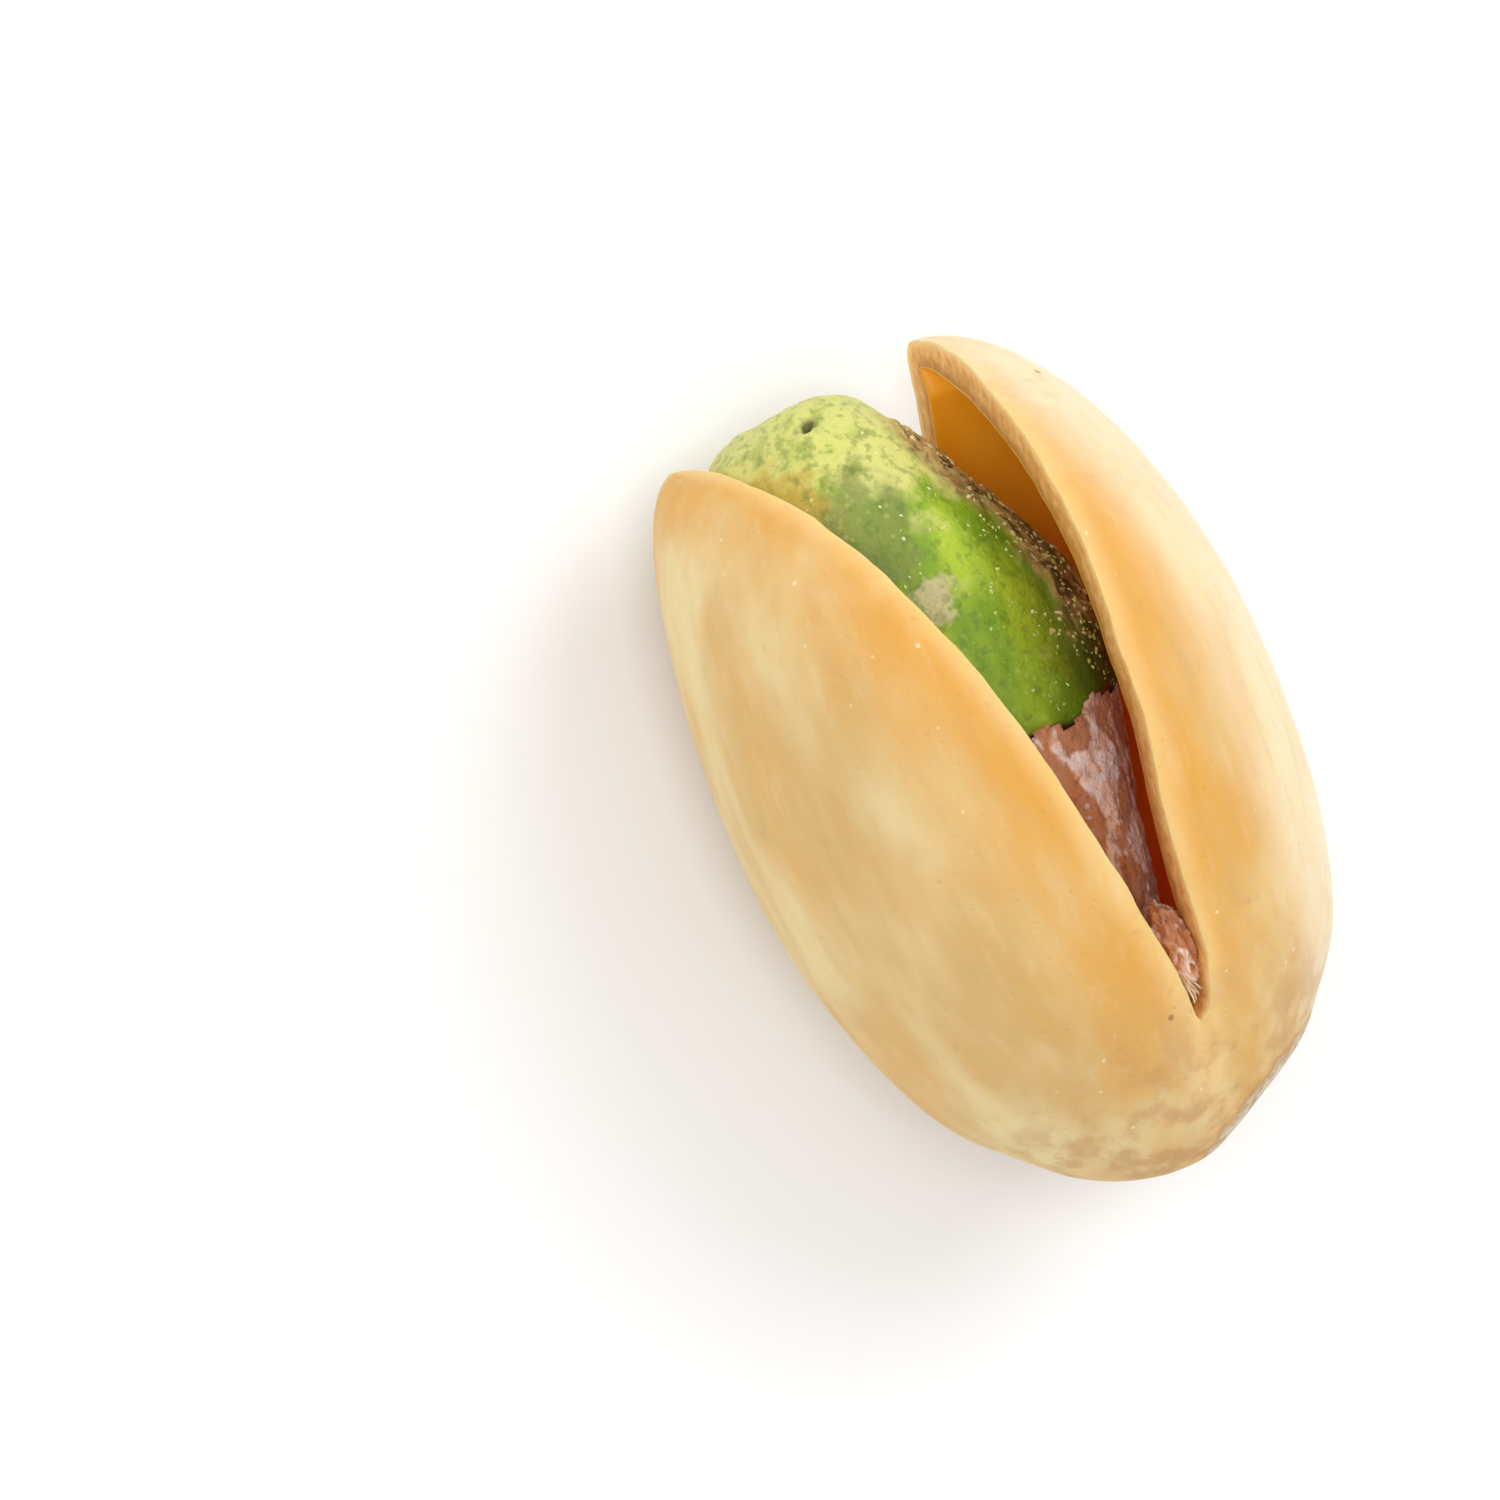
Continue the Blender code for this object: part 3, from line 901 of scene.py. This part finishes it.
# %% [markdown]
# ## Crumb and stalk
#
# A loose crumb of the coat is wedged in the narrow end of the split, and under it sits the dried
# stalk that fed the seed, a small woody lump. Sculpting would do, but both are only rough lumps,
# so both start as the same ball with ridged noise pushed into it, each with its own sizes and
# seed. The crumb shares the coat's finish; its `wrinkle` is set lower, which makes it browner.


# %% A lumpy ball
def lumpy_ball(name, centre, half_sizes, turn, lumps, seed, material):
    """An ellipsoid with ridged lumps; all its sizes are in mm of the nut's own lengths."""
    thing = unit_ball(name, 72, 54)
    unit = get_points(thing.data)
    rough = sum(height * (1 - 2 * np.abs(noise_at(unit, size, seed + i)))
                for i, (height, size) in enumerate(lumps))
    places = unit * (1 + rough)[:, None] * np.array(half_sizes)
    places = places @ np.array(Euler(turn).to_matrix()).T + np.array(centre)
    set_points(thing.data, places * MM)
    write_attribute(thing.data, "wrinkle", rough * 2 - 0.3)
    thing.data.materials.append(material)
    thing.data.shade_smooth()
    set_down(thing)
    return thing


COAT_LUMPS = ((0.20, 0.9), (0.20, 0.4), (0.14, 0.16))
crumb = lumpy_ball("seed_coat_crumb", (4.95, -0.34, 3.72), (0.95, 0.36, 0.48),
                   (0, -0.40, 0.10), COAT_LUMPS, 71, coat_finish)
print("crumb points:", len(crumb.data.vertices))


# %% Stalk
def paint_stalk(material):
    g, shader = start_finish(material, {"Specular IOR Level": 0.25})
    fibrous = place_in_mm(g, (5.0, 1, 1))
    here = place_in_mm(g)
    strands = cloud(g, fibrous, 0.12, 81, 4.0)
    colour = paint(g, strands.ramp(0.30, 0.54), tint(170, 122, 78), tint(246, 228, 192))
    colour = paint(g, cloud(g, here, 0.4, 82).ramp(0.50, 0.66) * 0.5, colour, tint(190, 126, 76))
    end_finish(g, shader, colour, 0.75 + strands * 0.1, strands, 0.05 * MM)


stalk_finish = bpy.data.materials.new("stalk_fibre")
paint_stalk(stalk_finish)
STALK_LUMPS = ((0.12, 0.7), (0.06, 0.25))
stalk = lumpy_ball("seed_stalk_wood", (3.95, -0.10, 2.95), (1.05, 0.32, 0.40),
                   (0, -0.22, 0), STALK_LUMPS, 75, stalk_finish)
print("stalk points:", len(stalk.data.vertices))


# %% [markdown]
# ## Frayed fibres
#
# The stalk's strands were torn when the nut was picked, so a wisp of pale, tapering fibres sticks
# out into the end of the split. Hair curves could make them, but the export needs a mesh. So a
# Geometry Nodes tree sweeps a small ring along one bent curve, and lays copies of it out of one
# point, each at its own small angle and its own length.


# %% A tree that bends fibres out of the stalk
def fibre_tree(material):
    """A bundle of tapering fibres that leave the start of the X axis at small random angles."""
    g, size = start_tree("frayed_fibres", {"Count": "Int", "Seed": "Int", "Length": "Float",
                                           "Thickness": "Float", "Spread": "Float",
                                           "Bend": "Float"})
    line = g.add("GeometryNodeCurveQuadraticBezier", sockets={
        "Resolution": 7, "Start": (0, 0, 0), "Middle": g.vector(size["Length"] * 0.5, 0.0, 0.0),
        "End": g.vector(size["Length"], 0.0, size["Bend"])})
    share = g.add("GeometryNodeSplineParameter")
    taper = (1 - share * share * 0.8) * size["Thickness"]
    ring = g.add("GeometryNodeCurvePrimitiveCircle", sockets={"Resolution": 6, "Radius": 1.0})
    fibre = g.add("GeometryNodeCurveToMesh", sockets={
        "Curve": line, "Profile Curve": ring, "Scale": taper, "Fill Caps": True})
    roots = g.add("GeometryNodeMeshLine", sockets={"Count": size["Count"], "Offset": (0, 0, 0)})
    angles = g.add("FunctionNodeRandomValue", {"data_type": "FLOAT_VECTOR"},
                   {0: g.vector(-pi, -size["Spread"], -size["Spread"]),
                    1: g.vector(pi, size["Spread"], size["Spread"]), "Seed": size["Seed"]})
    scales = g.add("FunctionNodeRandomValue", {"data_type": "FLOAT"},
                   {2: 0.55, 3: 1.0, "Seed": size["Seed"] + 1}, 1)
    many = g.add("GeometryNodeInstanceOnPoints", sockets={
        "Points": roots, "Instance": fibre, "Rotation": angles, "Scale": scales})
    return end_tree(g, many, material)


FIBRE_ROOT = Vector((4.75, -0.12, 3.87)) * MM     # above the stalk's middle
FIBRE_TURN = (0, -0.25, pi)                       # towards the stem end, and a little up
fibres = grow("stalk_fibres", fibre_tree(stalk_finish),
              {"Count": 36, "Seed": 4, "Length": 1.05 * MM, "Thickness": 0.045 * MM,
               "Spread": 0.20, "Bend": 0.16 * MM})
fibres.data.transform(Matrix.Translation(FIBRE_ROOT) @ Euler(FIBRE_TURN).to_matrix().to_4x4())
fibres.data.shade_smooth()
set_down(fibres)
print("fibre points:", len(fibres.data.vertices))


# %% [markdown]
# ## Salt and flakes
#
# Roasted nuts are salted: fine angular grains cling to the kernel, most of them on the flank away
# from the +Y valve. Along the ridge of dried coat small brown flakes stand loose. Both repeat by
# the hundred, so one Geometry Nodes tree makes both. It picks points on the kernel as densely as
# a stored mask says, and puts a jagged twenty-sided grain on each, flattened and turned at random
# from a fixed seed.


# %% A tree that scatters grains
def scatter_tree(material):
    """Grains lying on the faces of the incoming surface, as dense as a stored mask says."""
    g, size = start_tree("scattered_grains", {"Surface": "Geometry", "Mask": "String",
                                              "Spacing": "Float", "Seed": "Int",
                                              "Smallest": "Vector", "Largest": "Vector",
                                              "Jagged": "Float"})
    mask = g.add("GeometryNodeInputNamedAttribute", {"data_type": "FLOAT"}, {"Name": size["Mask"]})
    chosen = g.add("GeometryNodeDistributePointsOnFaces", {"distribute_method": "RANDOM"},
                   {"Mesh": size["Surface"], "Density": mask * size["Spacing"] ** -2.0,
                    "Seed": size["Seed"]}).socket.node
    grain = g.add("GeometryNodeMeshIcoSphere", sockets={"Radius": 1.0, "Subdivisions": 1})
    least, most = (g.vector(side, side, side) for side in (-size["Jagged"], size["Jagged"]))
    shake = g.add("FunctionNodeRandomValue", {"data_type": "FLOAT_VECTOR"},
                  {0: least, 1: most, "Seed": 5})
    grain = g.add("GeometryNodeSetPosition", sockets={"Geometry": grain, "Offset": shake})
    scales = g.add("FunctionNodeRandomValue", {"data_type": "FLOAT_VECTOR"},
                   {0: size["Smallest"], 1: size["Largest"], "Seed": size["Seed"] + 1})
    spin = g.add("FunctionNodeRandomValue", {"data_type": "FLOAT_VECTOR"},
                 {0: (-0.5, -0.5, -pi), 1: (0.5, 0.5, pi), "Seed": size["Seed"] + 2})
    many = g.add("GeometryNodeInstanceOnPoints", sockets={
        "Points": Wire(g, chosen.outputs["Points"]), "Instance": grain, "Scale": scales,
        "Rotation": Wire(g, chosen.outputs["Rotation"])})
    many = g.add("GeometryNodeRotateInstances",
                 sockets={"Instances": many, "Rotation": spin, "Local Space": True})
    return end_tree(g, many, material)


def scatter(name, surface, mask, material, values):
    grains = grow(name, scatter_tree(material), {"Mask": mask, **values}, surface.data.copy())
    for attribute in [a.name for a in grains.data.attributes if a.name in surface.data.attributes
                      and not a.is_required and not a.is_internal]:
        grains.data.attributes.remove(grains.data.attributes[attribute])
    return grains


salty = (read_attribute(kernel.data, "flank") * 0.75 + 0.22) \
    * smooth_step(read_attribute(kernel.data, "bare"), 0.6, 1.0) \
    * smooth_step(noise_at(get_points(kernel.data), 0.8 * MM, 95), -0.35, 0.35) \
    * (1 - 0.8 * read_attribute(kernel.data, "tip"))
write_attribute(kernel.data, "salty", salty)
write_attribute(kernel.data, "flaky", read_attribute(kernel.data, "ridge") * 0.6)
print("share of the kernel that takes salt:", round(float(salty.mean()), 3))


# %% Salt and flakes
def paint_simple(material, dark, light, size_mm, roughness, constants):
    g, shader = start_finish(material, constants)
    here = place_in_mm(g)
    fleck = cloud(g, here, size_mm, 91, 4.0)
    end_finish(g, shader, paint(g, fleck.ramp(0.38, 0.62), dark, light),
               roughness + fleck * 0.2, fleck, 0.02 * MM)


salt_finish = bpy.data.materials.new("salt")
paint_simple(salt_finish, tint(170, 188, 72), tint(232, 234, 170), 0.25, 0.25,
             {"Specular IOR Level": 0.6})
flake_finish = bpy.data.materials.new("coat_flakes")
paint_simple(flake_finish, tint(150, 112, 58), tint(234, 204, 148), 0.22, 0.60,
             {"Specular IOR Level": 0.3})

salt = scatter("salt_grains", kernel, "salty", salt_finish,
               {"Spacing": 0.18 * MM, "Seed": 11, "Jagged": 0.22,
                "Smallest": (0.020 * MM, 0.020 * MM, 0.010 * MM),
                "Largest": (0.080 * MM, 0.060 * MM, 0.035 * MM)})
flakes = scatter("seed_coat_flakes", kernel, "flaky", flake_finish,
                 {"Spacing": 0.26 * MM, "Seed": 21, "Jagged": 0.25,
                  "Smallest": (0.05 * MM, 0.035 * MM, 0.012 * MM),
                  "Largest": (0.17 * MM, 0.10 * MM, 0.045 * MM)})
print("salt and flakes, faces:", len(salt.data.polygons), len(flakes.data.polygons))

# %% [markdown]
# ## Camera, floor and light
#
# The nut is seen from above and from the side of its +Y valve, with the camera turned on its
# side so that the stem end points down and to the right. The nut sits right of the middle of the
# picture, so the camera is turned a little past it. A long lens keeps the small nut undistorted.
# Three soft round lamps and a bright world leave only a faint shadow on a pale floor, as on a
# light table: the key lamp shapes the valves, and the one above reaches into the split.


# %% Camera
CAMERA_AZIMUTH = radians(152.8)
CAMERA_ELEVATION = radians(67.5)
CAMERA_ROLL = radians(89.1)
CAMERA_DISTANCE = 200 * MM
LENS = 206.2
AIM_RIGHT = 0.0296
AIM_UP = 0.0034


def make_camera():
    back = Vector((sin(CAMERA_AZIMUTH) * cos(CAMERA_ELEVATION),
                   -cos(CAMERA_AZIMUTH) * cos(CAMERA_ELEVATION), sin(CAMERA_ELEVATION)))
    level = (-back).to_track_quat("-Z", "Y").to_matrix().to_4x4()
    roll = Matrix.Rotation(CAMERA_ROLL, 4, "Z")
    aim = Euler((AIM_UP, AIM_RIGHT, 0)).to_matrix().to_4x4()
    middle = nut_to_rest @ Vector((LENGTH / 2, 0, 0))
    data = bpy.data.cameras.new("camera")
    data.lens = LENS
    data.clip_start = 0.01
    data.clip_end = 10
    camera = plain_object("camera", data)
    camera.matrix_world = Matrix.Translation(middle + back * CAMERA_DISTANCE) @ level @ roll @ aim
    bpy.context.scene.camera = camera
    print("camera at mm:", [round(v / MM, 1) for v in camera.matrix_world.translation])


make_camera()


# %% Floor and lights
def make_floor():
    mesh = bpy.data.meshes.new("floor")
    mesh.from_pydata([(-1, -1, 0), (1, -1, 0), (1, 1, 0), (-1, 1, 0)], [], [(0, 1, 2, 3)])
    finish = bpy.data.materials.new("floor_white")
    start_finish(finish, {"Base Color": (0.94, 0.94, 0.94, 1), "Roughness": 0.9})
    mesh.materials.append(finish)
    plain_object("floor", mesh)


def make_light(name, direction, distance, size, energy):
    data = bpy.data.lights.new(name, "AREA")
    data.shape = "DISK"
    data.size = size
    data.energy = energy
    light = plain_object(name, data)
    away = Vector(direction).normalized()
    light.location = away * distance
    light.rotation_euler = (-away).to_track_quat("-Z", "Y").to_euler()


make_floor()
make_light("key", (0.28, -0.62, 0.74), 0.25, 0.18, 0.26)
make_light("top", (0.15, 0.30, 0.94), 0.28, 0.14, 0.19)
make_light("fill", (0.50, 0.70, 0.55), 0.30, 0.20, 0.10)
world = bpy.data.worlds.new("studio")
world.use_nodes = True
world.node_tree.nodes["Background"].inputs["Color"].default_value = (1, 1, 1, 1)
world.node_tree.nodes["Background"].inputs["Strength"].default_value = 0.66
bpy.context.scene.world = world
bpy.context.scene.view_settings.view_transform = "Standard"

# %% [markdown]
# ## Handing the pieces to the imported model
#
# Every piece rides the one body, and takes the place of the imported model's part it shows.

# %% Bodies and the parts they replace
PIECES = [
    (shell, "shell", "shell"),
    (kernel, "kernel", "kernel"),
    (coat, "seed_coat", "seed_coat"),
    (crumb, "seed_coat", None),
    (flakes, "seed_coat", None),
    (stalk, "seed_stalk", "seed_stalk"),
    (fibres, "seed_stalk", None),
    (salt, "kernel", None),
]
for piece, slot, node in PIECES:
    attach(piece, "root")
    if node:
        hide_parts(node)
